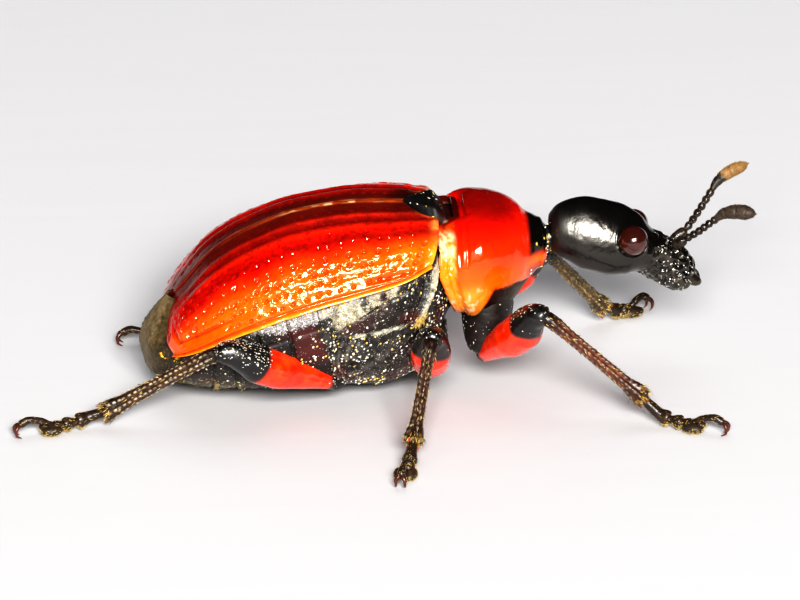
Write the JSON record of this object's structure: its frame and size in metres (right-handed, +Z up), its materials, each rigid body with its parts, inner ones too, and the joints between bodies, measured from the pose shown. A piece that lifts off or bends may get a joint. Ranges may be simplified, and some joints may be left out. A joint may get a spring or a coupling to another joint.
{
  "type": "leaf-roller weevil",
  "caption": "Life-size still model of a hazel leaf-roller weevil, black with grooved red wing covers and a red thorax, standing on its own feet.",
  "frame": {"origin": "middle of the model's box, on the plane that the feet stand on", "axes": "+X towards the head, +Y towards the animal's left side, +Z up"},
  "size_m": [0.0107, 0.0076, 0.0029],
  "materials": {
    "abdomen": "dark, with a pale powdery bloom",
    "antenna_left": "dark brown, finely haired",
    "antenna_right": "dark brown, finely haired",
    "elytron_left": "glossy red, with rows of pits between the grooves",
    "elytron_right": "glossy red, with rows of pits between the grooves",
    "eye_left": "very glossy dark brown",
    "eye_right": "very glossy dark brown",
    "head": "glossy black, lightly pitted",
    "leg_front_left_coxa": "glossy black",
    "leg_front_left_femur": "glossy red, black towards the knee",
    "leg_front_left_tarsus": "brown with golden pads",
    "leg_front_left_tibia": "dark brown with rows of pale scales",
    "leg_front_right_coxa": "glossy black",
    "leg_front_right_femur": "glossy red, black towards the knee",
    "leg_front_right_tarsus": "brown with golden pads",
    "leg_front_right_tibia": "dark brown with rows of pale scales",
    "leg_hind_left_coxa": "glossy black",
    "leg_hind_left_femur": "glossy red, black towards the knee",
    "leg_hind_left_tarsus": "brown with golden pads",
    "leg_hind_left_tibia": "dark brown with rows of pale scales",
    "leg_hind_right_coxa": "glossy black",
    "leg_hind_right_femur": "glossy red, black towards the knee",
    "leg_hind_right_tarsus": "brown with golden pads",
    "leg_hind_right_tibia": "dark brown with rows of pale scales",
    "leg_middle_left_coxa": "glossy black",
    "leg_middle_left_femur": "glossy red, black towards the knee",
    "leg_middle_left_tarsus": "brown with golden pads",
    "leg_middle_left_tibia": "dark brown with rows of pale scales",
    "leg_middle_right_coxa": "glossy black",
    "leg_middle_right_femur": "glossy red, black towards the knee",
    "leg_middle_right_tarsus": "brown with golden pads",
    "leg_middle_right_tibia": "dark brown with rows of pale scales",
    "metathorax": "dark, pitted, with a pale powdery bloom",
    "neck": "glossy black",
    "pronotum": "glossy orange-red, black at the collar and below",
    "pygidium": "olive brown with short golden hairs",
    "rostrum": "glossy black, coarsely pitted",
    "scutellum": "glossy black"
  },
  "bodies": {
    "root": {"abdomen": "abdomen", "antenna_left": "antenna_left", "antenna_right": "antenna_right", "elytron_left": "elytron_left", "elytron_right": "elytron_right", "eye_left": "eye_left", "eye_right": "eye_right", "head": "head", "leg_front_left_coxa": "leg_front_left_coxa", "leg_front_left_femur": "leg_front_left_femur", "leg_front_left_tarsus": "leg_front_left_tarsus", "leg_front_left_tibia": "leg_front_left_tibia", "leg_front_right_coxa": "leg_front_right_coxa", "leg_front_right_femur": "leg_front_right_femur", "leg_front_right_tarsus": "leg_front_right_tarsus", "leg_front_right_tibia": "leg_front_right_tibia", "leg_hind_left_coxa": "leg_hind_left_coxa", "leg_hind_left_femur": "leg_hind_left_femur", "leg_hind_left_tarsus": "leg_hind_left_tarsus", "leg_hind_left_tibia": "leg_hind_left_tibia", "leg_hind_right_coxa": "leg_hind_right_coxa", "leg_hind_right_femur": "leg_hind_right_femur", "leg_hind_right_tarsus": "leg_hind_right_tarsus", "leg_hind_right_tibia": "leg_hind_right_tibia", "leg_middle_left_coxa": "leg_middle_left_coxa", "leg_middle_left_femur": "leg_middle_left_femur", "leg_middle_left_tarsus": "leg_middle_left_tarsus", "leg_middle_left_tibia": "leg_middle_left_tibia", "leg_middle_right_coxa": "leg_middle_right_coxa", "leg_middle_right_femur": "leg_middle_right_femur", "leg_middle_right_tarsus": "leg_middle_right_tarsus", "leg_middle_right_tibia": "leg_middle_right_tibia", "metathorax": "metathorax", "neck": "neck", "pronotum": "pronotum", "pygidium": "pygidium", "rostrum": "rostrum", "scutellum": "scutellum"}
  },
  "joints": []
}
